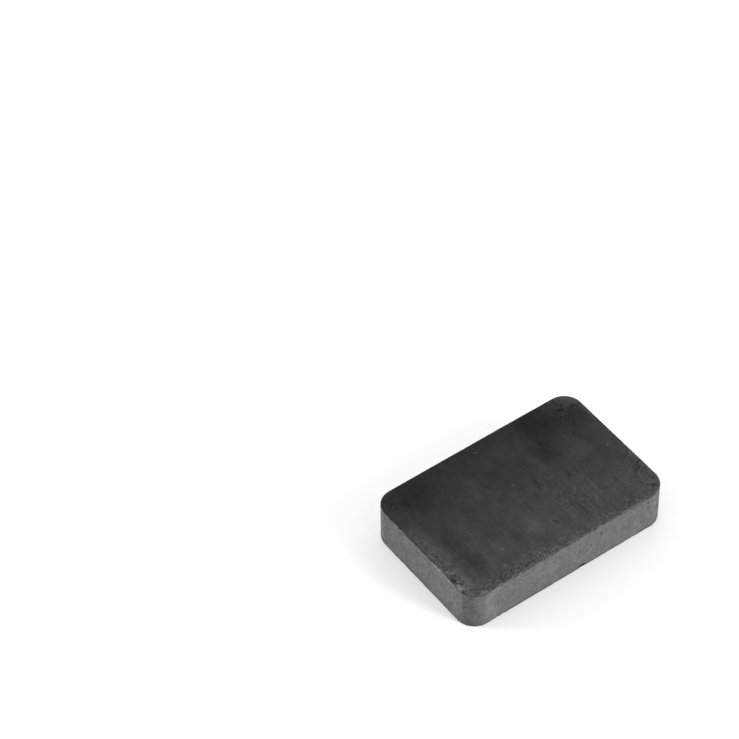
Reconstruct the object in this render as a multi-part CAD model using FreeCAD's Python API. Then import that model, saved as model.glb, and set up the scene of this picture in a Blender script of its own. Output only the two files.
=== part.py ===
"""Block magnet: one pressed, fired and ground ferrite block, in millimetres.

The block lies on one ground pole face. The origin is the centre of that face, +X runs along the
length, +Y along the width and +Z through the thickness, from pole face to pole face. The front
side faces -Y and the left side faces -X. The press die gives the plan outline and its round
corners, grinding gives the two pole faces, and use has chipped the rims between them.
"""
import FreeCAD, Part
import math
import os

# Fired and ground block
LENGTH = 30.8
WIDTH = 20.0
THICKNESS = 6.0
CORNER_RADIUS = 2.6
EDGE_ROUND = 0.1

# Stretches of a pole face's rim, counter-clockwise from above: the straight runs by the direction
# that their side faces, and the corner arcs by the direction where they start, in degrees
RUN_FACES = {"front": 270.0, "right": 0.0, "back": 90.0, "left": 180.0}
ARC_STARTS = {"front_right": 270.0, "back_right": 0.0, "back_left": 90.0, "front_left": 180.0}
QUARTER_TURN = 90.0

# Scars on the two rims. Each has its stretch, its share of the way along that stretch, half its
# length along the rim, its reach in over the pole face and its drop down the side.
TOP_SCARS = [
    ("front", 0.15, 0.90, 0.20, 0.36),
    ("front", 0.33, 0.45, 0.12, 0.16),
    ("front", 0.45, 0.40, 0.13, 0.11),
    ("front", 0.60, 0.60, 0.10, 0.14),
    ("front", 0.83, 0.85, 0.24, 0.18),
    ("front", 0.885, 2.90, 0.15, 0.36),
    ("front", 0.97, 0.75, 0.34, 0.24),
    ("right", 0.03, 2.40, 2.25, 0.03),
    ("right", 0.42, 0.40, 0.12, 0.10),
    ("back_right", 0.50, 2.15, 2.00, 0.05),
    ("back", 0.55, 0.45, 0.10, 0.12),
    ("left", 0.44, 0.50, 0.12, 0.16),
    ("left", 0.74, 1.90, 0.12, 0.20),
    ("front_left", 0.08, 1.45, 0.85, 0.22),
    ("front_left", 0.47, 1.08, 0.50, 0.36),
    ("front_left", 0.84, 1.20, 0.75, 0.24),
]
BOTTOM_SCARS = [
    ("front", 0.58, 0.75, 0.10, 0.60),
    ("left", 0.30, 0.50, 0.08, 0.16),
    ("front_right", 0.40, 0.60, 0.10, 0.18),
]


def vector(x, y, z):
    return FreeCAD.Vector(x, y, z)


def plan_direction(degrees):
    """Unit vector in plan, turned counter-clockwise from +X."""
    angle = math.radians(degrees)
    return vector(math.cos(angle), math.sin(angle), 0.0)


def rim_point(stretch, share):
    """Point on the plan outline at a share of a stretch, and the outward direction there."""
    half_length = LENGTH / 2 - CORNER_RADIUS
    half_width = WIDTH / 2 - CORNER_RADIUS
    if stretch in ARC_STARTS:
        outward = plan_direction(ARC_STARTS[stretch] + share * QUARTER_TURN)
        centre = vector(
            math.copysign(half_length, outward.x), math.copysign(half_width, outward.y), 0.0
        )
        return centre + outward * CORNER_RADIUS, outward
    outward = plan_direction(RUN_FACES[stretch])
    along = plan_direction(RUN_FACES[stretch] + QUARTER_TURN)
    from_middle = 2 * share - 1
    x = half_length * (outward.x + along.x * from_middle)
    y = half_width * (outward.y + along.y * from_middle)
    return vector(x, y, 0.0) + outward * CORNER_RADIUS, outward


def is_upright(edge):
    return abs(edge.tangentAt(edge.FirstParameter).z) > 0.5


def fired_block():
    """The die's outline through the thickness, with round corners and lightly eased rims."""
    plan = Part.makePlane(LENGTH, WIDTH, vector(-LENGTH / 2, -WIDTH / 2, 0.0))
    block = plan.extrude(vector(0.0, 0.0, THICKNESS))
    block = block.makeFillet(CORNER_RADIUS, [edge for edge in block.Edges if is_upright(edge)])
    rims = [edge for edge in block.Edges if not is_upright(edge)]
    return block.makeFillet(EDGE_ROUND, rims)


def scar_cutter(stretch, share, half_length, reach, drop, pole_height, face_up):
    """Ball whose surface is the scar, as a flake leaves a shallow hollow in a brittle rim.

    In the plane across the rim, the ball's centre is out and up from the rim by the two amounts
    that make its surface meet the pole face at the reach and the side at the drop, and it cuts
    the rim at half the scar's length each way.
    """
    point, outward = rim_point(stretch, share)
    out = (half_length**2 - reach**2) / (2 * reach)
    up = (half_length**2 - drop**2) / (2 * drop)
    radius = math.sqrt(half_length**2 + out**2 + up**2)
    point.z = pole_height
    return Part.makeSphere(radius, point + outward * out + vector(0.0, 0.0, face_up * up))


def magnet_block():
    cutters = [scar_cutter(*scar, pole_height=THICKNESS, face_up=1) for scar in TOP_SCARS]
    cutters += [scar_cutter(*scar, pole_height=0.0, face_up=-1) for scar in BOTTOM_SCARS]
    return fired_block().cut(cutters).removeSplitter()


def main():
    os.makedirs("parts", exist_ok=True)
    shape = magnet_block()
    shape.exportStep("parts/magnet_block.step")
    box = shape.optimalBoundingBox(False)
    print("solids", len(shape.Solids), "valid", shape.isValid(), "faces", len(shape.Faces))
    print("box", round(box.XLength, 3), round(box.YLength, 3), round(box.ZLength, 3))
    print("lowest", round(box.ZMin, 3), "volume mm3", round(shape.Volume, 1))


main()
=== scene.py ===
"""Looks of the block magnet, in metres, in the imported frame: +X length, +Y width, +Z thickness.

The block's surface is a profile carried round the die's outline, then cut back to the chipped form.
"""

import math

import bpy
import numpy as np
from mathutils import Matrix, Vector


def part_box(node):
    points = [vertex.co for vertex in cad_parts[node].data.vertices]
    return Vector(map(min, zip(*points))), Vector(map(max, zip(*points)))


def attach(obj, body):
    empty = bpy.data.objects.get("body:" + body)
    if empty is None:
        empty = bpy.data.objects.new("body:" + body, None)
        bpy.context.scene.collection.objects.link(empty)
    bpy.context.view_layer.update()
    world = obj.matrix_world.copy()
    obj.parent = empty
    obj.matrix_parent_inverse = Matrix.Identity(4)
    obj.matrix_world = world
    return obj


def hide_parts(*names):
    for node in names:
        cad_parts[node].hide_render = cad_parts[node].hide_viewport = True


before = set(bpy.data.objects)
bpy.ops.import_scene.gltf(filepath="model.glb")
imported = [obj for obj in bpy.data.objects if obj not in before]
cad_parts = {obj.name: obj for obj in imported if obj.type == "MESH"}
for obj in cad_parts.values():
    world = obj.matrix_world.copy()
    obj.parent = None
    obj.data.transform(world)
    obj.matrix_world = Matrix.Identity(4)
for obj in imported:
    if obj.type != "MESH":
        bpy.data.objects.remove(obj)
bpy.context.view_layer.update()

# The block, in millimetres, its overall size from the frame
MM = 0.001
NODE = "magnet_block"
LOW, HIGH = (np.array(corner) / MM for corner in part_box(NODE))
LENGTH, WIDTH, THICKNESS = HIGH - LOW
CORNER_RADIUS = 2.6
EDGE_ROUND = 0.1
HALF_RUN_X = LENGTH / 2 - CORNER_RADIUS
HALF_RUN_Y = WIDTH / 2 - CORNER_RADIUS

# Grid of the surface: columns round the outline, then how far from the rim the close rows reach
# and how many there are, on each pole face and down the side from each. Inside the close rows a
# pole face has rings, by their share of the last close row. Rows crowd towards a rim by a power,
# and points walk inward towards a core so deep inside the block.
COLUMNS = 920
TOP_FACE_ROWS = (2.4, 31)
LOW_FACE_ROWS = (1.2, 12)
SIDE_TOP_ROWS = (1.2, 17)
SIDE_LOW_ROWS = (1.2, 12)
SIDE_MIDDLE_ROWS = 24
FACE_RINGS = (0.93, 0.80, 0.60, 0.36, 0.12)
RIM_CROWDING = 1.5
CORE_DEPTH = 1.2

# Scars on the two rims, as in the solid: stretch of the rim, share of the way along it, half the
# length along the rim, reach in over the pole face, drop down the side
TOP_SCARS = [
    ("front", 0.15, 0.90, 0.20, 0.36),
    ("front", 0.33, 0.45, 0.12, 0.16),
    ("front", 0.45, 0.40, 0.13, 0.11),
    ("front", 0.60, 0.60, 0.10, 0.14),
    ("front", 0.83, 0.85, 0.24, 0.18),
    ("front", 0.885, 2.90, 0.15, 0.36),
    ("front", 0.97, 0.75, 0.34, 0.24),
    ("right", 0.03, 2.40, 2.25, 0.03),
    ("right", 0.42, 0.40, 0.12, 0.10),
    ("back_right", 0.50, 2.15, 2.00, 0.05),
    ("back", 0.55, 0.45, 0.10, 0.12),
    ("left", 0.44, 0.50, 0.12, 0.16),
    ("left", 0.74, 1.90, 0.12, 0.20),
    ("front_left", 0.08, 1.45, 0.85, 0.22),
    ("front_left", 0.47, 1.08, 0.50, 0.36),
    ("front_left", 0.84, 1.20, 0.75, 0.24),
]
BOTTOM_SCARS = [
    ("front", 0.58, 0.75, 0.10, 0.60),
    ("left", 0.30, 0.50, 0.08, 0.16),
    ("front_right", 0.40, 0.60, 0.10, 0.18),
]
RUN_FACES = {"front": 270.0, "right": 0.0, "back": 90.0, "left": 180.0}
ARC_STARTS = {"front_right": 270.0, "back_right": 0.0, "back_left": 90.0, "front_left": 180.0}
QUARTER_TURN = 90.0

# Small nicks: stretch of the rim, how many on the upper rim, how many on the lower, and the
# largest half length. Each draws a share of that, then its bite as a share of its own half length,
# and the angle in degrees from level at which its ball comes in.
NICKS = [
    ("front", 150, 50, 0.19),
    ("front_right", 18, 8, 0.16),
    ("right", 34, 24, 0.12),
    ("back_right", 10, 6, 0.12),
    ("back", 44, 36, 0.12),
    ("back_left", 10, 6, 0.14),
    ("left", 80, 26, 0.17),
    ("front_left", 30, 8, 0.18),
]
NICK_SHARE = (0.3, 1.0)
NICK_BITE = (0.16, 0.40)
NICK_ANGLE = (20, 70)
# Pits strewn in the fired sides: how many, half their width, their depth as a share of that, and
# how near they come to the lower and the upper rim
PITS = 170
PIT_HALF = (0.06, 0.15)
PIT_DEPTH = (0.25, 0.5)
PIT_TO_LOW_RIM = 0.4
PIT_TO_TOP_RIM = 0.5
# Larger pits of the front side: place along X and Z, and half their width; then their depth as a
# share of that
FRONT_PITS = [
    (3.15, 3.25, 0.19), (4.85, 4.3, 0.15), (1.3, 2.45, 0.16), (12.2, 4.9, 0.20), (12.2, 4.2, 0.15),
    (-8.8, 4.4, 0.13), (-8.1, 4.1, 0.11), (-7.6, 4.5, 0.13), (-8.3, 5.2, 0.10), (-8.6, 3.4, 0.12),
    (-7.0, 4.9, 0.11), (-6.5, 4.3, 0.10), (-7.2, 3.9, 0.10),
]
FRONT_PIT_DEPTH = 0.5

# Roughness inside the scars, as a share of their depth, and ripple of the fired sides; each is
# made of waves whose shortest and longest length and number are given
SEED = 41
SCAR_GRAIN = 0.09
SCAR_WAVES = (0.22, 0.8, 60)
SIDE_RIPPLE = 0.004
SIDE_WAVES = (0.6, 2.4, 32)
# A flake that a larger ball left is nearly level with the face, and has worn as dark as it
WORN_RADIUS = 40.0
# Steps that lead a point to the chipped surface, how near a ball a point must be to count, the
# depth told of a point near none, and the least slope that the way sideways allows for, squared
WALK_STEPS = 16
NEAR_BALL = 0.1
NEAR_NONE = -1.0
LEAST_SLOPE_SQUARED = 0.0005
# Depths where a scar starts to look broken and how much deeper it is wholly so, widths of a fresh
# scar's and a worn flake's border, depth of a pit that is wholly hollow, and how far from the rim
# the distance is told
BROKEN_FROM = 0.005
BROKEN_OVER = 0.035
SCAR_BORDER = 0.08
FLAKE_BORDER = 0.12
HOLLOW_OVER = 0.05
TOLD_FROM_RIM = 4.0

# Camera, in degrees and millimetres: where it stands round the block, its roll, what point of the
# floor it looks at, and its lens and sensor; then how near and how far it sees, in metres
CAMERA_AZIMUTH = -35.6443
CAMERA_ELEVATION = 47.5813
CAMERA_ROLL = -0.7976
CAMERA_DISTANCE = 436.314
CAMERA_TARGET = (0.450, 32.232, 0.0)
CAMERA_LENS = 163.63
SENSOR = 36.0
NEAREST_SEEN = 0.01
FARTHEST_SEEN = 10.0


def rim_point(stretch, share):
    """Point on the plan outline at a share of a stretch, and the outward direction there."""
    if stretch in ARC_STARTS:
        angle = math.radians(ARC_STARTS[stretch] + share * QUARTER_TURN)
        outward = np.array([math.cos(angle), math.sin(angle)])
        centre = np.copysign([HALF_RUN_X, HALF_RUN_Y], outward)
        return centre + outward * CORNER_RADIUS, outward
    angle = math.radians(RUN_FACES[stretch])
    outward = np.array([math.cos(angle), math.sin(angle)])
    along = np.array([-outward[1], outward[0]])
    centre = (outward + along * (2 * share - 1)) * [HALF_RUN_X, HALF_RUN_Y]
    return centre + outward * CORNER_RADIUS, outward


def outline(distance):
    """Outline of the plan, by the distance walked round it from the start of the front run.

    A point slides round the rectangle of the corner centres and waits at each corner while the
    outward direction turns a quarter; the outline is that point plus the corner radius times the
    outward direction. Returns the sliding point and the outward direction.
    """
    run_x, run_y, arc = 2 * HALF_RUN_X, 2 * HALF_RUN_Y, CORNER_RADIUS * math.pi / 2
    marks = np.cumsum([0, run_x, arc, run_y, arc, run_x, arc, run_y, arc])
    x = HALF_RUN_X * np.array([-1, 1, 1, 1, 1, -1, -1, -1, -1])
    y = HALF_RUN_Y * np.array([-1, -1, -1, 1, 1, 1, 1, -1, -1])
    turn = math.pi / 2 * np.array([-1, -1, 0, 0, 1, 1, 2, 2, 3])
    distance = np.mod(distance, marks[-1])
    angle = np.interp(distance, marks, turn)
    centre = np.stack([np.interp(distance, marks, x), np.interp(distance, marks, y)], axis=-1)
    return centre, np.stack([np.cos(angle), np.sin(angle)], axis=-1)


def outline_length():
    return 4 * (HALF_RUN_X + HALF_RUN_Y) + 2 * math.pi * CORNER_RADIUS


def inset_of(plan):
    """Distance of a place in plan from the outline, negative outside it.

    It is the corner radius less the distance to the rectangle of the corner centres.
    """
    over = np.abs(plan) - [HALF_RUN_X, HALF_RUN_Y]
    reach = np.linalg.norm(np.maximum(over, 0), axis=-1) + np.minimum(over.max(axis=-1), 0)
    return CORNER_RADIUS - reach


def signed_distance(points):
    """Distance to the unchipped block, negative inside it.

    In plan it is the distance past the outline, in height the distance past the nearer pole face,
    both less the rim's rounding, and the two join in a quarter round.
    """
    plan = EDGE_ROUND - inset_of(points[..., :2])
    height = np.abs(points[..., 2] - THICKNESS / 2) - THICKNESS / 2 + EDGE_ROUND
    outer = np.hypot(np.maximum(plan, 0), np.maximum(height, 0))
    return outer + np.minimum(np.maximum(plan, height), 0) - EDGE_ROUND


def ripples(points, wavelengths, rng):
    """Even roughness, mostly from -1 to 1, with one random direction for each wavelength.

    It is the sum of the cosine waves divided by the root of half their number.
    """
    count = len(wavelengths)
    ways = rng.normal(size=(3, count))
    ways *= 2 * math.pi / (np.linalg.norm(ways, axis=0) * wavelengths)
    phases = rng.uniform(0, 2 * math.pi, count)
    return np.cos(points @ ways + phases).sum(axis=-1) * math.sqrt(2 / count)


def scar_ball(stretch, share, half_length, reach, drop, top):
    """Centre, radius and grain of the ball whose surface is a scar, from the lengths it leaves."""
    point, outward = rim_point(stretch, share)
    out = (half_length**2 - reach**2) / (2 * reach)
    up = (half_length**2 - drop**2) / (2 * drop)
    height = THICKNESS + up if top else -up
    radius = math.sqrt(half_length**2 + out**2 + up**2)
    return [*(point + outward * out), height, radius, SCAR_GRAIN * min(reach, drop)]


def shallow_ball(half, bite):
    """Radius of the ball that leaves a hollow of that half width and depth in a flat face."""
    return (half**2 + bite**2) / (2 * bite)


def nick_balls(rng):
    """Balls of small nicks at random places on the rims.

    A ball's centre lies out and up from the middle of the eased rim, along its angle, by its
    radius less its bite.
    """
    balls = []
    for stretch, upper, lower, largest in NICKS:
        for top in [True] * upper + [False] * lower:
            point, outward = rim_point(stretch, rng.uniform(0, 1))
            half = largest * rng.uniform(*NICK_SHARE)
            bite = half * rng.uniform(*NICK_BITE)
            radius = shallow_ball(half, bite)
            angle = math.radians(rng.uniform(*NICK_ANGLE))
            eased = EDGE_ROUND * (1 - math.sqrt(0.5))
            out = (radius - bite) * math.cos(angle) - eased
            up = (radius - bite) * math.sin(angle) - eased
            height = THICKNESS + up if top else -up
            balls.append([*(point + outward * out), height, radius, SCAR_GRAIN * bite])
    return balls


def pit_balls(rng):
    """Balls of small pits in the fired sides: the named ones, and others at random places."""
    balls = []
    for x, z, half in FRONT_PITS:
        depth = FRONT_PIT_DEPTH * half
        radius = shallow_ball(half, depth)
        balls.append([x, -WIDTH / 2 - radius + depth, z, radius, 0.0])
    centre, outward = outline(rng.uniform(0, outline_length(), PITS))
    half = rng.uniform(*PIT_HALF, PITS)
    depth = half * rng.uniform(*PIT_DEPTH, PITS)
    radius = shallow_ball(half, depth)
    plan = centre + outward * (CORNER_RADIUS + radius - depth)[:, None]
    height = rng.uniform(PIT_TO_LOW_RIM, THICKNESS - PIT_TO_TOP_RIM, PITS)
    return balls + np.column_stack([plan, height, radius, np.zeros(PITS)]).tolist()


def within(points, balls):
    """For each ball, the points that it holds or nearly holds."""
    away = (np.linalg.norm(points - ball[:3], axis=-1) - ball[3] for ball in np.array(balls))
    return [np.flatnonzero(distance < NEAR_BALL) for distance in away]


def cut_back(points, inward, balls, rough):
    """How far each point walks inward until it lies on the block with the balls taken away.

    Each step is the distance still left: the larger of the distance outside the block and the
    depth inside the deepest ball, whose radius varies by its grain times the roughness there.
    """
    walked = np.zeros(len(points))
    held = within(points, balls)
    for _ in range(WALK_STEPS):
        here = points + inward * walked[:, None]
        left = signed_distance(here)
        for (*centre, radius, grain), index in zip(balls, held):
            away = np.linalg.norm(here[index] - centre, axis=-1)
            left[index] = np.maximum(left[index], radius + grain * rough[index] - away)
        walked += np.maximum(left, 0)
    return walked


def inside_scars(points, inward, balls, rough):
    """Depth of each point of the unchipped block inside the scars, and how far sideways that is.

    Both are negative outside. The way sideways is the depth inside the deepest ball, divided by
    the sine of the angle between the way inward and the line from that ball's centre.
    """
    deepest = np.full(len(points), NEAR_NONE)
    sideways = np.full(len(points), NEAR_NONE)
    for (*centre, radius, grain), index in zip(balls, within(points, balls)):
        away = points[index] - centre
        distance = np.linalg.norm(away, axis=-1)
        depth = radius + grain * rough[index] - distance
        straight = (away * inward[index]).sum(axis=-1) / distance
        slope = np.sqrt(np.maximum(1 - straight**2, LEAST_SLOPE_SQUARED))
        deeper = depth > deepest[index]
        deepest[index[deeper]] = depth[deeper]
        sideways[index[deeper]] = (depth / slope)[deeper]
    return deepest, sideways


def steps(reach, rows):
    """Distances from a rim out to the reach, crowded towards the rim by a power of the share."""
    return reach * np.linspace(0, 1, rows)**RIM_CROWDING


def rows_of(inset, height, share=1.0):
    return np.stack(np.broadcast_arrays(inset, height, share), axis=-1)


def profile():
    """Rows of the surface from the middle of the lower pole face, over the side, to the upper.

    Each row has its inset from the outline, its height, and its share of the ring at that inset,
    which falls from 1 towards 0 in the middle of a pole face.
    """
    low, top = steps(*LOW_FACE_ROWS), steps(*TOP_FACE_ROWS)
    side_low, side_top = steps(*SIDE_LOW_ROWS), THICKNESS - steps(*SIDE_TOP_ROWS)[::-1]
    middle = np.linspace(side_low[-1], side_top[0], SIDE_MIDDLE_ROWS)[1:-1]
    side = np.concatenate([side_low, middle, side_top])
    rings = np.array(FACE_RINGS)
    return np.concatenate([
        rows_of(low[-1], 0.0, rings[::-1]),
        rows_of(low[::-1], 0.0),
        rows_of(0.0, side[1:-1]),
        rows_of(top, THICKNESS),
        rows_of(top[-1], THICKNESS, rings),
    ])


def block_grid():
    """The unchipped surface with square rims, rows by columns, and the way inward at each point.

    A point is the sliding centre plus what is left of the corner radius times the outward
    direction, drawn in by the row's share. Inward leads to the nearest point of a core that lies
    the core's depth inside the block, so the ways fan out round the rims.
    """
    inset, height, share = profile().T[..., None, None]
    centre, outward = outline(np.arange(COLUMNS) * outline_length() / COLUMNS)
    plan = (centre + (CORNER_RADIUS - inset) * outward) * share
    tall = np.broadcast_to(height, plan.shape[:2] + (1,))
    side = np.maximum(CORE_DEPTH - inset_of(plan), 0)[..., None] * -outward
    rise = np.clip(tall, CORE_DEPTH, THICKNESS - CORE_DEPTH) - tall
    inward = np.concatenate([side, rise], axis=-1)
    points = np.concatenate([plan, tall], axis=-1)
    return points, inward / np.linalg.norm(inward, axis=-1, keepdims=True)


def block_surface():
    """Points of the chipped block, one after another by rows, with what the finishes need to know.

    The unchipped surface is cut back to the scars, nicks and pits, and the fired sides ripple by
    a few microns. The measures are broken, outline and hollow, which rise to 1 deep inside a
    fresh scar, on its border and in a pit, flake_edge, the same for the border of a worn flake,
    and from_rim, the distance from the nearer rim.
    """
    rng = np.random.default_rng(SEED)
    points, inward = (grid.reshape(-1, 3) for grid in block_grid())
    rough = ripples(points, rng.uniform(*SCAR_WAVES), rng)
    peel = ripples(points, rng.uniform(*SIDE_WAVES), rng)
    scars = [scar_ball(*scar, top=True) for scar in TOP_SCARS]
    scars += [scar_ball(*scar, top=False) for scar in BOTTOM_SCARS]
    scars += nick_balls(rng)
    pits = pit_balls(rng)
    height = points[:, 2]
    on_side = (height > 0) & (height < THICKNESS)
    eased = cut_back(points, inward, [], rough)
    broken = cut_back(points, inward, scars, rough)
    pitted = cut_back(points, inward, scars + pits, rough)
    depth = np.where(on_side, pitted + SIDE_RIPPLE * np.clip(1 + peel, 0, 2), broken)
    whole = points + inward * eased[:, None]
    fresh = [ball for ball in scars if ball[3] < WORN_RADIUS]
    flakes = [ball for ball in scars if ball[3] >= WORN_RADIUS]
    inside, sideways = inside_scars(whole, inward, fresh, rough)
    down = np.broadcast_to([0.0, 0.0, -1.0], whole.shape)
    _, along_flakes = inside_scars(whole, down, flakes, rough)
    to_rim = np.maximum(np.minimum(height, THICKNESS - height), inset_of(points[:, :2]))
    measures = {
        "broken": np.clip((inside - BROKEN_FROM) / BROKEN_OVER, 0, 1),
        "outline": np.exp(-(sideways / SCAR_BORDER)**2),
        "flake_edge": np.exp(-(along_flakes / FLAKE_BORDER)**2),
        "hollow": np.clip((pitted - broken) / HOLLOW_OVER, 0, 1) * on_side,
        "from_rim": np.minimum(to_rim, TOLD_FROM_RIM),
    }
    return points + inward * depth[:, None], measures


def closed_faces(rows):
    """Quads between neighbouring rows and columns, and a fan from each end row to its middle."""
    index = np.arange(rows * COLUMNS).reshape(rows, COLUMNS)
    beside = np.roll(index, -1, axis=1)
    quads = np.stack([index[:-1], beside[:-1], beside[1:], index[1:]], axis=-1).reshape(-1, 4)
    low = np.stack([beside[0], index[0], np.full(COLUMNS, index.size)], axis=-1)
    high = np.stack([index[-1], beside[-1], np.full(COLUMNS, index.size + 1)], axis=-1)
    return quads, np.concatenate([low, high])


def make_block():
    """Mesh of the chipped block, its pole faces in the first material and its sides in the second."""
    points, measures = block_surface()
    height = profile()[:, 1]
    middles = [[0, 0, 0], [0, 0, THICKNESS]]
    corners = np.concatenate([points, middles]) * MM
    quads, fans = closed_faces(len(height))
    mesh = bpy.data.meshes.new("ferrite_block")
    mesh.from_pydata(corners.tolist(), [], quads.tolist() + fans.tolist())
    for name, values in measures.items():
        attribute = mesh.attributes.new(name, "FLOAT", "POINT")
        attribute.data.foreach_set("value", np.concatenate([values, [0] * len(middles)]))
    between = (height[:-1] + height[1:]) / 2
    is_side = (between > 0) & (between < THICKNESS)
    slots = np.concatenate([np.repeat(is_side.astype(int), COLUMNS), np.zeros(len(fans), int)])
    mesh.polygons.foreach_set("material_index", slots)
    mesh.polygons.foreach_set("use_smooth", np.ones(len(slots), bool))
    mesh.update()
    block = bpy.data.objects.new("ferrite_block", mesh)
    bpy.context.scene.collection.objects.link(block)
    return block


# The middle of a noise, and how a mark's oval sways: waves a millimetre, octaves, and how far along
# X, Y and Z
NOISE_MIDDLE = 0.5
SWAY_WAVES = 0.9
SWAY_OCTAVES = 4.0
SWAY = (0.7, 0.7, 0.0)


class Finish:
    """A material's node tree, with a short call for each kind of node that the finishes use."""

    def __init__(self, name):
        """Starts the tree with the place in millimetres, plain and swayed."""
        self.material = bpy.data.materials.new(name)
        self.material.use_nodes = True
        self.tree = self.material.node_tree
        self.shader = self.tree.nodes["Principled BSDF"]
        place = self.node("ShaderNodeTexCoord").outputs["Object"]
        self.place = self.scaled(place, (1 / MM, 1 / MM, 1 / MM))
        inputs = {"Vector": self.place, "Scale": SWAY_WAVES, "Detail": SWAY_OCTAVES}
        swirl = self.node("ShaderNodeTexNoise", inputs).outputs["Color"]
        sway = self.vector_maths("SUBTRACT", swirl, (NOISE_MIDDLE, NOISE_MIDDLE, NOISE_MIDDLE))
        self.swayed = self.vector_maths("ADD", self.place, self.scaled(sway, SWAY))

    def node(self, kind, inputs=(), **settings):
        made = self.tree.nodes.new(kind)
        for name, value in settings.items():
            setattr(made, name, value)
        for key, value in dict(inputs).items():
            self.feed(made.inputs[key], value)
        return made

    def feed(self, socket, value):
        """Links a socket to another's output, or sets its value."""
        if isinstance(value, bpy.types.NodeSocket):
            self.tree.links.new(value, socket)
        else:
            socket.default_value = value

    def maths(self, operation, first, second):
        return self.node("ShaderNodeMath", {0: first, 1: second}, operation=operation).outputs[0]

    def vector_maths(self, operation, first, second):
        inputs = {0: first, 1: second}
        return self.node("ShaderNodeVectorMath", inputs, operation=operation).outputs[0]

    def scaled(self, vector, factors):
        return self.vector_maths("MULTIPLY", vector, factors)

    def times(self, product, *factors):
        """The product of all that is given."""
        for factor in factors:
            product = self.maths("MULTIPLY", product, factor)
        return product

    def noise(self, waves, octaves, roughness, shift):
        """Cloudy noise from about 0.2 to 0.8, with that many waves a millimetre along X, Y and Z."""
        inputs = {
            "Vector": self.scaled(self.place, waves),
            "W": shift,
            "Scale": 1.0,
            "Detail": octaves,
            "Roughness": roughness,
        }
        return self.node("ShaderNodeTexNoise", inputs, noise_dimensions="4D").outputs["Fac"]

    def ramp(self, value, low, high, start=0.0, end=1.0):
        """Smooth rise from start to end as the value goes from low to high."""
        inputs = {"Value": value, "From Min": low, "From Max": high, "To Min": start, "To Max": end}
        made = self.node("ShaderNodeMapRange", inputs, interpolation_type="SMOOTHSTEP")
        return made.outputs["Result"]

    def pattern(self, waves, octaves, roughness, shift, *rise):
        """A noise with the smooth rise that its ramp gives it."""
        return self.ramp(self.noise(waves, octaves, roughness, shift), *rise)

    def attribute(self, name):
        return self.node("ShaderNodeAttribute", attribute_name=name).outputs["Fac"]

    def blob(self, x, y, half_x, half_y):
        """1 at a place in plan, and 0 beyond half a length and width from it, in a swayed oval."""
        moved = self.vector_maths("SUBTRACT", self.swayed, (x, y, 0))
        flat = self.scaled(moved, (1 / half_x, 1 / half_y, 0))
        away = self.node("ShaderNodeVectorMath", {0: flat}, operation="LENGTH").outputs["Value"]
        return self.ramp(away, 1.0, 0.0)

    def toned(self, tone, amount, factor):
        """The tone times the factor where the amount is 1, and as it was where it is 0."""
        return self.times(tone, self.ramp(amount, 0.0, 1.0, 1.0, factor))

    def marked(self, tone, marks):
        """The tone made paler or darker at each mark, given by place, half size and change."""
        for x, y, half_x, half_y, change in marks:
            tone = self.toned(tone, self.blob(x, y, half_x, half_y), 1.0 + change)
        return tone

    def swung(self, tone, swing):
        """The tone made paler or darker by a share of itself."""
        return self.times(tone, self.maths("ADD", swing, 1.0))

    def grey(self, value):
        """The same amount of red, green and blue."""
        return self.node("ShaderNodeCombineXYZ", {0: value, 1: value, 2: value}).outputs[0]

    def bump(self, height, distance, under=None):
        """Relief of a height from 0 to 1, so many millimetres deep, over an earlier relief."""
        inputs = {"Height": height, "Distance": distance * MM, "Strength": 1.0}
        if under is not None:
            inputs["Normal"] = under
        return self.node("ShaderNodeBump", inputs).outputs["Normal"]


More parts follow.
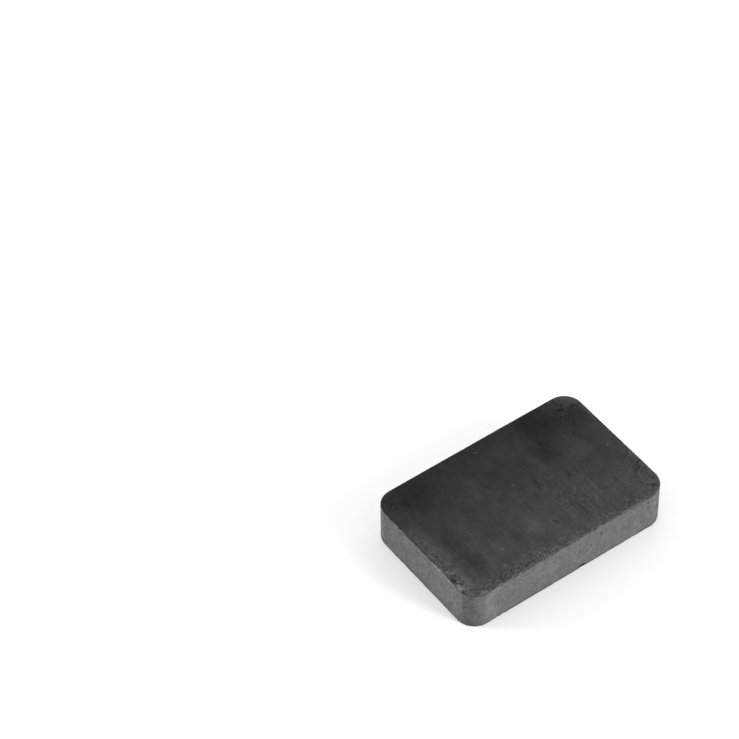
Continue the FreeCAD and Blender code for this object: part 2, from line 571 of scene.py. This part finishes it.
# Marks of the upper pole face: place, half size, and how much paler or darker it is. Broad smudges
# (the dark one at the back left is painted shade), then scores of the grinding, then spots and pale grit
FACE_MARKS = [
    (7.9, 7.8, 4.2, 5.2, -0.28),
    (6.7, 3.6, 2.9, 3.6, -0.25),
    (10.6, 6.2, 2.2, 3.2, -0.12),
    (12.8, 6.3, 2.8, 2.4, -0.20),
    (10.4, 1.6, 2.8, 3.2, 0.26),
    # Painted shade: the back left darkened as if shaded by a block standing beside it
    (-11.0, 7.6, 4.8, 3.8, -0.24),
    (-14.3, -1.5, 2.5, 9.5, 0.52),
    (-14.0, -7.8, 2.0, 2.6, 0.36),
    (-3.0, -9.9, 7.0, 2.4, 0.18),
    (-11.2, -3.4, 2.8, 5.4, -0.18),
    (-11.2, -5.9, 2.6, 3.6, -0.16),
    (-7.4, -5.5, 2.4, 2.8, 0.20),
    (-4.6, -6.0, 1.1, 2.6, -0.15),
    (-2.0, -5.0, 2.2, 2.6, 0.26),
    (-5.0, 4.0, 4.0, 4.0, 0.10),
    (2.5, 6.8, 4.4, 4.2, 0.22),
    (-10.2, 3.4, 1.6, 2.2, 0.12),
    (13.2, 9.2, 2.2, 2.3, 0.52),
    (14.4, 8.3, 1.9, 2.2, 0.40),
    (12.5, 7.85, 0.80, 0.45, -0.60),
    (14.05, 7.45, 0.90, 0.35, -0.60),
    (15.1, 7.3, 0.45, 0.35, -0.55),
    (13.1, 6.9, 0.25, 0.8, -0.35),
    (14.45, -5.3, 0.32, 0.60, -0.55),
    (14.8, -6.0, 0.30, 0.45, -0.45),
    (14.62, -7.8, 0.32, 0.40, -0.45),
    (13.1, -7.55, 0.28, 0.65, -0.50),
    (13.45, -8.2, 0.38, 0.35, -0.50),
    (14.1, -8.65, 0.85, 0.28, -0.60),
    (9.9, -9.25, 0.50, 0.28, -0.50),
    (-0.6, -2.4, 0.13, 1.6, -0.55),
    (1.40, -1.5, 0.14, 1.5, -0.50),
    (1.05, -1.6, 0.13, 1.2, -0.40),
    (6.3, -1.6, 0.16, 1.3, -0.35),
    (7.75, -1.1, 0.16, 0.9, -0.45),
    (6.75, -1.0, 0.20, 0.8, -0.50),
    (8.35, -3.2, 0.20, 2.0, -0.30),
    (8.05, -4.0, 0.18, 2.3, 0.40),
    (6.55, -6.1, 0.15, 1.3, -0.45),
    (4.75, -6.0, 0.16, 1.3, -0.40),
    (4.3, -8.1, 0.14, 0.9, -0.40),
    (2.6, 0.2, 0.80, 1.3, -0.30),
    (2.65, 0.3, 0.20, 0.5, -0.45),
    (2.3, -0.8, 0.18, 0.5, -0.50),
    (0.65, -6.1, 0.32, 0.75, -0.45),
    (-12.3, -0.9, 0.55, 0.40, -0.35),
    (-15.0, -6.0, 0.50, 0.80, -0.45),
    (12.85, 5.4, 0.30, 0.22, -0.50),
    (-7.0, 1.0, 0.30, 0.30, 0.8),
    (0.1, 1.6, 0.35, 0.30, 0.6),
    (-0.4, 8.5, 0.22, 0.22, 2.5),
    (13.55, -0.3, 0.22, 0.22, 1.6),
    (-7.2, -5.8, 0.32, 0.32, 1.0),
    (-14.3, -5.1, 0.40, 0.40, 1.3),
    (-8.6, -7.9, 0.40, 0.35, 0.8),
    (-11.2, -8.7, 0.45, 0.30, 0.8),
    (-4.0, -9.0, 0.22, 0.40, 0.9),
]
# Where the grinding scored the upper pole face most, and where a painted highlight runs along its
# rim at the back right, by place and half size
SCORED_PATCH = (5.8, -6.3, 3.8, 4.8)
PAINTED_RIM_HIGHLIGHT = (15.0, 8.0, 5.0, 6.5)
# Upright bands of the sides, by place in plan in the same way
SIDE_MARKS = [
    # Painted highlight: a pale upright band at the left end of the front side
    (-12.2, -10.0, 1.8, 1.6, 0.14),
    (-8.6, -10.0, 0.35, 0.8, -0.06),
    # Painted shade: the front right corner darkened, toning down its light
    (14.0, -9.7, 1.4, 1.4, -0.12),
    (-15.4, -4.5, 0.9, 3.8, 0.14),
]
# Breaks that are paler or darker than the rest: the left rim has rubbed bright, and the front left
# corner is patchy
BREAK_MARKS = [
    (-15.4, -3.6, 0.9, 2.6, 1.3),
    (-14.8, -7.4, 1.1, 1.0, 0.8),
    (-15.1, -8.3, 0.6, 0.7, -0.5),
    (-12.8, -9.6, 1.2, 0.8, 0.8),
    (-13.9, -9.3, 0.6, 0.5, -0.4),
]

# Reflectance and gloss of the ground, fired and broken surfaces, the palest tone that still gains
# gloss, and how much rougher the broken surface is than the ground one
GROUND_GREY = 0.0203
GROUND_GLOSS = 0.24
FIRED_GREY = 0.0872
FIRED_GLOSS = 0.14
BROKEN_GREY = 0.057
GLOSSIEST_TONE = 2.0
BROKEN_ROUGHER = 0.25

# Patterns: waves a millimetre along X, Y and Z, octaves, roughness of the noise and its shift, then
# the two levels of the noise between which it rises, and from what to what where that isn't 0 to 1.
# A pattern that ends at its shift is the noise alone. Ramps by place: the two places in millimetres,
# then from what to what. A tone is a factor on the reflectance.

# Scars: patches, painted shade low down, and painted shade along stretches of their borders
BROKEN_PATCHES = ((2.2, 2.2, 2.2), 4.0, 0.7, 13.0, 0.3, 0.7, 0.40, 1.60)
BROKEN_SHADE_BY_HEIGHT = (0.3, 1.0, 0.28, 1.0)
BORDER_SHADE_PATCHES = ((1.5, 1.5, 1.5), 3.0, 0.6, 21.0, 0.40, 0.56)
BORDER_SHADE_TONE = 0.34

# Ground pole face: clouds and mottle, the painted shade that darkens it towards the back, scores, and
# hairlines
GROUND_CLOUDS = ((0.20, 0.10, 0.20), 4.0, 0.55, 0.0, 0.3, 0.7, 0.90, 1.10)
GROUND_MOTTLE = ((0.8, 0.5, 0.8), 5.0, 0.70, 3.0, 0.3, 0.7, 0.84, 1.16)
PAINTED_SHADE_TO_BACK = (-20.0, 18.0, 1.65, 0.40)
SCORES = ((2.9, 0.28, 2.9), 3.0, 0.6, 31.0, 0.36, 0.64, -0.28, 0.28)
HAIRLINES = ((7.0, 0.25, 1.0), 2.0, 0.6, 11.0, 0.40, 0.62)
HAIRLINE_TONES = (1.05, 0.95)
# Ground pole face: where it crumbles, its grain and how far that swings, dark crumbs, pale flecks
CRUMBLY_BY_RIM = (0.2, 3.0, 1.0, 0.0)
CRUMBLY_BY_WIDTH = (7.0, -7.0, 0.2, 1.0)
CRUMBLY_BY_LENGTH = (2.0, -5.0, 0.5, 1.0)
GRAIN = ((2.8, 2.2, 2.8), 2.0, 0.7, 5.0)
GRAIN_PATCHES = ((0.22, 0.16, 0.22), 2.0, 0.5, 25.0, 0.45, 0.65, 0.18, 1.0)
GRAIN_WHERE_CRUMBLY = 2.1
GRAIN_SWING = 1.5
CRUMBS = ((2.3, 2.3, 2.3), 3.0, 0.6, 27.0, 0.50, 0.60)
CRUMB_TONE = 0.62
FLECKS = ((2.7, 2.7, 2.7), 2.0, 0.6, 29.0, 0.57, 0.65)
FLECK_TONE = 2.0
# Ground pole face: its rim, worn pale in spots and with a painted highlight, and the borders of worn
# flakes
GROUND_WEAR = ((1.4, 1.4, 1.4), 4.0, 0.6, 7.0, 0.38, 0.58)
GROUND_WEAR_BY_RIM = (0.02, 0.22, 1.0, 0.0)
GROUND_WEAR_TONE_BY_LENGTH = (-15.0, -13.0, 1.2, 2.6)
RIM_HIGHLIGHT_BY_PATCH = (0.0, 0.7, 0.06, 0.86)
RIM_HIGHLIGHT_BY_RIM = (0.15, 0.85, 1.0, 0.0)
RIM_PALER = (0.3, 1.8, 1.08, 1.0)
FLAKE_ARCS = ((0.6, 0.6, 0.6), 2.0, 0.5, 33.0, 0.40, 0.52)
FLAKE_ARC_TONE = 0.5
# Ground pole face: roughness, and relief in millimetres
GROUND_ROUGHNESS = ((1.6, 0.5, 1.6), 4.0, 0.6, 15.0, 0.3, 0.7, 0.42, 0.56)
GROUND_RELIEF = ((3.0, 3.0, 3.0), 4.0, 0.7, 17.0)
GROUND_RELIEF_DEPTH = 0.010
HAIRLINE_DEPTH = 0.005
CRUMB_DEPTH = 0.012

# Fired sides: clouds, mottle, grit and streaks, painted shade at foot and head, holes, pits and worn
# rims
FIRED_CLOUDS = ((0.5, 0.5, 0.35), 3.0, 0.5, 0.0, 0.3, 0.7, 0.92, 1.08)
FIRED_MOTTLE = ((1.1, 1.1, 0.8), 5.0, 0.72, 3.0, 0.3, 0.7, 0.82, 1.18)
FIRED_GRIT = ((3.2, 3.2, 3.2), 2.0, 0.7, 5.0, 0.3, 0.7, 0.80, 1.20)
FIRED_STREAKS = ((1.6, 1.6, 0.16), 3.0, 0.6, 7.0, 0.3, 0.7, 0.95, 1.05)
PAINTED_SHADE_AT_FOOT = (0.0, 1.2, 0.87, 1.0)
PAINTED_SHADE_AT_HEAD = (2.0, 3.8, 1.03, 0.99)
HOLES = ((2.0, 2.0, 2.0), 2.0, 0.5, 9.0, 0.66, 0.74)
HOLE_TONE = 0.6
PIT_TONE = 0.35
FIRED_WEAR = ((1.2, 1.2, 1.2), 4.0, 0.6, 11.0, 0.38, 0.58)
FIRED_WEAR_BY_RIM = (0.05, 0.42, 1.0, 0.0)
FIRED_WEAR_TONE_BY_WIDTH = (-9.8, -8.0, 0.60, 1.7)
# Fired sides: roughness, and relief in millimetres
FIRED_ROUGHNESS = ((1.8, 1.8, 1.8), 4.0, 0.6, 15.0, 0.3, 0.7, 0.64, 0.80)
FIRED_RELIEF = ((1.8, 1.8, 1.8), 5.0, 0.65, 17.0)
FIRED_RELIEF_DEPTH = 0.028
HOLE_DEPTH = 0.05


def lay_tone(finish, tone, reflectance, gloss):
    """Feeds the tone, 1 on average, to the reflectance and gloss of the finish.

    The scars are grey inside, in patches, with painted shade low down and along parts of their borders.
    """
    height = finish.node("ShaderNodeSeparateXYZ", {0: finish.place}).outputs["Z"]
    # Painted shade: the scars darken towards the foot, where the block meets the floor
    chipped_with_shade = finish.times(finish.pattern(*BROKEN_PATCHES), finish.ramp(height, *BROKEN_SHADE_BY_HEIGHT))
    chipped_with_shade = finish.times(finish.marked(chipped_with_shade, BREAK_MARKS), BROKEN_GREY / reflectance)
    tones = {0: finish.attribute("broken"), 2: tone, 3: chipped_with_shade}
    tone = finish.node("ShaderNodeMix", tones, data_type="FLOAT").outputs[0]
    # Painted shade along stretches of the scars' borders, where the step of a break would be shaded
    border_shade = finish.times(finish.attribute("outline"), finish.pattern(*BORDER_SHADE_PATCHES))
    tone = finish.toned(tone, border_shade, BORDER_SHADE_TONE)
    finish.feed(finish.shader.inputs["Base Color"], finish.grey(finish.times(tone, reflectance)))
    shine = finish.times(finish.maths("MINIMUM", tone, GLOSSIEST_TONE), gloss)
    finish.feed(finish.shader.inputs["Specular IOR Level"], shine)


def ground_pole_face():
    """Pole face ground flat: dark, satin, smudged, darkened towards the back by painted shade, scored
    across in one patch.

    Grain shows in patches, most along the rims and to the front, where it crumbles. The rim has
    worn pale in spots and carries a painted highlight at the back right, and dark arcs border the
    worn flakes.
    """
    finish = Finish("ground_pole_face")
    along, across, _ = finish.node("ShaderNodeSeparateXYZ", {0: finish.place}).outputs
    from_rim = finish.attribute("from_rim")
    tone = finish.times(finish.pattern(*GROUND_CLOUDS), finish.pattern(*GROUND_MOTTLE))
    # Painted shade: the face is darkened from the front towards the back
    tone = finish.times(tone, finish.ramp(across, *PAINTED_SHADE_TO_BACK))
    tone = finish.marked(tone, FACE_MARKS)

    crumbly = finish.times(
        finish.ramp(from_rim, *CRUMBLY_BY_RIM),
        finish.ramp(across, *CRUMBLY_BY_WIDTH),
        finish.ramp(along, *CRUMBLY_BY_LENGTH),
    )
    most = finish.times(crumbly, GRAIN_WHERE_CRUMBLY)
    spread = finish.times(finish.maths("MAXIMUM", finish.pattern(*GRAIN_PATCHES), most), GRAIN_SWING)
    grain = finish.maths("SUBTRACT", finish.noise(*GRAIN), NOISE_MIDDLE)
    tone = finish.swung(tone, finish.times(grain, spread))
    tone = finish.swung(tone, finish.times(finish.pattern(*SCORES), finish.blob(*SCORED_PATCH)))
    hairlines = finish.pattern(*HAIRLINES)
    tone = finish.times(tone, finish.ramp(hairlines, 0.0, 1.0, *HAIRLINE_TONES))
    crumbs = finish.times(finish.pattern(*CRUMBS), crumbly)
    tone = finish.toned(tone, crumbs, CRUMB_TONE)
    tone = finish.toned(tone, finish.times(finish.pattern(*FLECKS), crumbly), FLECK_TONE)

    worn = finish.times(finish.pattern(*GROUND_WEAR), finish.ramp(from_rim, *GROUND_WEAR_BY_RIM))
    tone = finish.toned(tone, worn, finish.ramp(along, *GROUND_WEAR_TONE_BY_LENGTH))
    # Painted highlight: a pale band along the back right rim, where the rounded rim catches the light
    rim_highlight = finish.ramp(finish.blob(*PAINTED_RIM_HIGHLIGHT), *RIM_HIGHLIGHT_BY_PATCH)
    rim_highlight = finish.times(rim_highlight, finish.ramp(from_rim, *RIM_HIGHLIGHT_BY_RIM))
    tone = finish.times(tone, finish.maths("ADD", rim_highlight, finish.ramp(from_rim, *RIM_PALER)))
    arcs = finish.times(finish.pattern(*FLAKE_ARCS), finish.attribute("flake_edge"))
    lay_tone(finish, finish.toned(tone, arcs, FLAKE_ARC_TONE), GROUND_GREY, GROUND_GLOSS)

    rougher = finish.times(finish.attribute("broken"), BROKEN_ROUGHER)
    rough = finish.maths("ADD", finish.pattern(*GROUND_ROUGHNESS), rougher)
    finish.feed(finish.shader.inputs["Roughness"], rough)
    relief = finish.bump(finish.noise(*GROUND_RELIEF), GROUND_RELIEF_DEPTH)
    relief = finish.bump(finish.maths("SUBTRACT", 1.0, hairlines), HAIRLINE_DEPTH, relief)
    relief = finish.bump(finish.maths("SUBTRACT", 1.0, crumbs), CRUMB_DEPTH, relief)
    finish.feed(finish.shader.inputs["Normal"], relief)
    return finish.material


def fired_side():
    """Side as it left the kiln: paler, matt, mottled, with small holes and faint upright streaks.

    Painted shade makes it a little darker at its foot and towards its head; it is dark in the pits, and
    its rims have worn pale in spots.
    """
    finish = Finish("fired_side")
    _, across, height = finish.node("ShaderNodeSeparateXYZ", {0: finish.place}).outputs
    from_rim = finish.attribute("from_rim")
    patterns = (FIRED_CLOUDS, FIRED_MOTTLE, FIRED_GRIT, FIRED_STREAKS)
    tone = finish.times(*(finish.pattern(*pattern) for pattern in patterns))
    # Two of the side marks are painted light: a highlight at the left end of the front and shade on the
    # front right corner
    tone = finish.marked(tone, SIDE_MARKS)
    # Painted shade: darker at the foot, where the side meets the floor, and a little darker towards the
    # head, evening out the light up the side
    tone = finish.times(tone, finish.ramp(height, *PAINTED_SHADE_AT_FOOT), finish.ramp(height, *PAINTED_SHADE_AT_HEAD))
    holes = finish.pattern(*HOLES)
    tone = finish.toned(tone, holes, HOLE_TONE)
    tone = finish.toned(tone, finish.attribute("hollow"), PIT_TONE)
    worn = finish.times(finish.pattern(*FIRED_WEAR), finish.ramp(from_rim, *FIRED_WEAR_BY_RIM))
    tone = finish.toned(tone, worn, finish.ramp(across, *FIRED_WEAR_TONE_BY_WIDTH))
    lay_tone(finish, tone, FIRED_GREY, FIRED_GLOSS)

    finish.feed(finish.shader.inputs["Roughness"], finish.pattern(*FIRED_ROUGHNESS))
    relief = finish.bump(finish.noise(*FIRED_RELIEF), FIRED_RELIEF_DEPTH)
    relief = finish.bump(finish.maths("SUBTRACT", 1.0, holes), HOLE_DEPTH, relief)
    finish.feed(finish.shader.inputs["Normal"], relief)
    return finish.material


# Studio, in metres. The surroundings' light fades from the horizon to the zenith, and towards the
# camera's side: where on the way there each fade starts and ends, then the light at the two.
FLOOR_GREY = 0.90
FLOOR_ROUGHNESS = 0.9
FLOOR_GLOSS = 0.1
FLOOR_HALF = 0.5
HORIZON_TO_ZENITH = (0.12, 0.55, 1.5, 0.70)
CAMERA_SIDE = (-0.583, -0.813, 0.0)
TOWARDS_CAMERA = (0.45, 0.95, 1.0, 0.15)
# Soft boxes: azimuth round the block, elevation, distance, width, height and strength
SOFT_BOXES = [
    ("soft_box_right", 33.0, 20.0, 0.7, 0.4, 0.3, 7.0),
    ("soft_box_left", -142.0, 20.0, 0.7, 0.4, 0.3, 6.0),
]


def facing(azimuth, elevation):
    """Unit vector from the block towards a place round it, azimuth 0 being in front of it."""
    turn, rise = math.radians(azimuth), math.radians(elevation)
    level = math.cos(rise)
    return Vector((math.sin(turn) * level, -math.cos(turn) * level, math.sin(rise)))


def make_floor():
    """Square of white paper under the block."""
    corners = [(x * FLOOR_HALF, y * FLOOR_HALF, 0.0) for x, y in ((-1, -1), (1, -1), (1, 1), (-1, 1))]
    mesh = bpy.data.meshes.new("floor")
    mesh.from_pydata(corners, [], [(0, 1, 2, 3)])
    paper = bpy.data.materials.new("white_paper")
    paper.use_nodes = True
    shader = paper.node_tree.nodes["Principled BSDF"]
    shader.inputs["Base Color"].default_value = (FLOOR_GREY, FLOOR_GREY, FLOOR_GREY, 1)
    shader.inputs["Roughness"].default_value = FLOOR_ROUGHNESS
    shader.inputs["Specular IOR Level"].default_value = FLOOR_GLOSS
    mesh.materials.append(paper)
    floor = bpy.data.objects.new("floor", mesh)
    bpy.context.scene.collection.objects.link(floor)


def fade(nodes, limits):
    """A node that goes smoothly from one light to another between two limits."""
    made = nodes.new("ShaderNodeMapRange")
    made.interpolation_type = "SMOOTHSTEP"
    for name, value in zip(("From Min", "From Max", "To Min", "To Max"), limits):
        made.inputs[name].default_value = value
    return made


def make_surroundings():
    """Light from all round: white at the horizon, dimmer overhead and towards the camera."""
    world = bpy.data.worlds.new("studio")
    world.use_nodes = True
    nodes, links = world.node_tree.nodes, world.node_tree.links
    way = nodes.new("ShaderNodeTexCoord").outputs["Generated"]
    split = nodes.new("ShaderNodeSeparateXYZ")
    links.new(way, split.inputs[0])
    by_height = fade(nodes, HORIZON_TO_ZENITH)
    links.new(split.outputs["Z"], by_height.inputs["Value"])
    towards = nodes.new("ShaderNodeVectorMath")
    towards.operation = "DOT_PRODUCT"
    towards.inputs[1].default_value = CAMERA_SIDE
    links.new(way, towards.inputs[0])
    by_side = fade(nodes, TOWARDS_CAMERA)
    links.new(towards.outputs["Value"], by_side.inputs["Value"])
    light = nodes.new("ShaderNodeMath")
    light.operation = "MULTIPLY"
    links.new(by_height.outputs["Result"], light.inputs[0])
    links.new(by_side.outputs["Result"], light.inputs[1])
    links.new(light.outputs[0], nodes["Background"].inputs["Strength"])
    nodes["Background"].inputs["Color"].default_value = (1, 1, 1, 1)
    bpy.context.scene.world = world


def make_soft_boxes():
    """Two area lights that shine on the block and don't mirror in it."""
    for name, azimuth, elevation, distance, width, height, power in SOFT_BOXES:
        light = bpy.data.lights.new(name, "AREA")
        light.shape = "RECTANGLE"
        light.size, light.size_y, light.energy = width, height, power
        lamp = bpy.data.objects.new(name, light)
        towards = facing(azimuth, elevation)
        lamp.location = towards * distance
        lamp.rotation_euler = towards.to_track_quat("Z", "Y").to_euler()
        lamp.visible_glossy = False
        bpy.context.scene.collection.objects.link(lamp)


def make_camera():
    """Camera that looks at the target from its place, rolled about its line of sight."""
    camera = bpy.data.cameras.new("camera")
    camera.lens = CAMERA_LENS
    camera.sensor_width = SENSOR
    camera.clip_start, camera.clip_end = NEAREST_SEEN, FARTHEST_SEEN
    back = facing(CAMERA_AZIMUTH, CAMERA_ELEVATION)
    level = Vector((0, 0, 1)).cross(back).normalized()
    upright = back.cross(level)
    roll = math.radians(CAMERA_ROLL)
    right = level * math.cos(roll) + upright * math.sin(roll)
    up = upright * math.cos(roll) - level * math.sin(roll)
    eye = bpy.data.objects.new("camera", camera)
    turn = Matrix((right, up, back)).transposed().to_4x4()
    place = (Vector(CAMERA_TARGET) + back * CAMERA_DISTANCE) * MM
    eye.matrix_world = Matrix.Translation(place) @ turn
    bpy.context.scene.collection.objects.link(eye)
    bpy.context.scene.camera = eye


block = make_block()
block.data.materials.append(ground_pole_face())
block.data.materials.append(fired_side())
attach(block, "root")
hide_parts(NODE)
make_floor()
make_surroundings()
make_soft_boxes()
make_camera()
bpy.context.scene.view_settings.view_transform = "Standard"
bpy.context.scene.view_settings.look = "None"
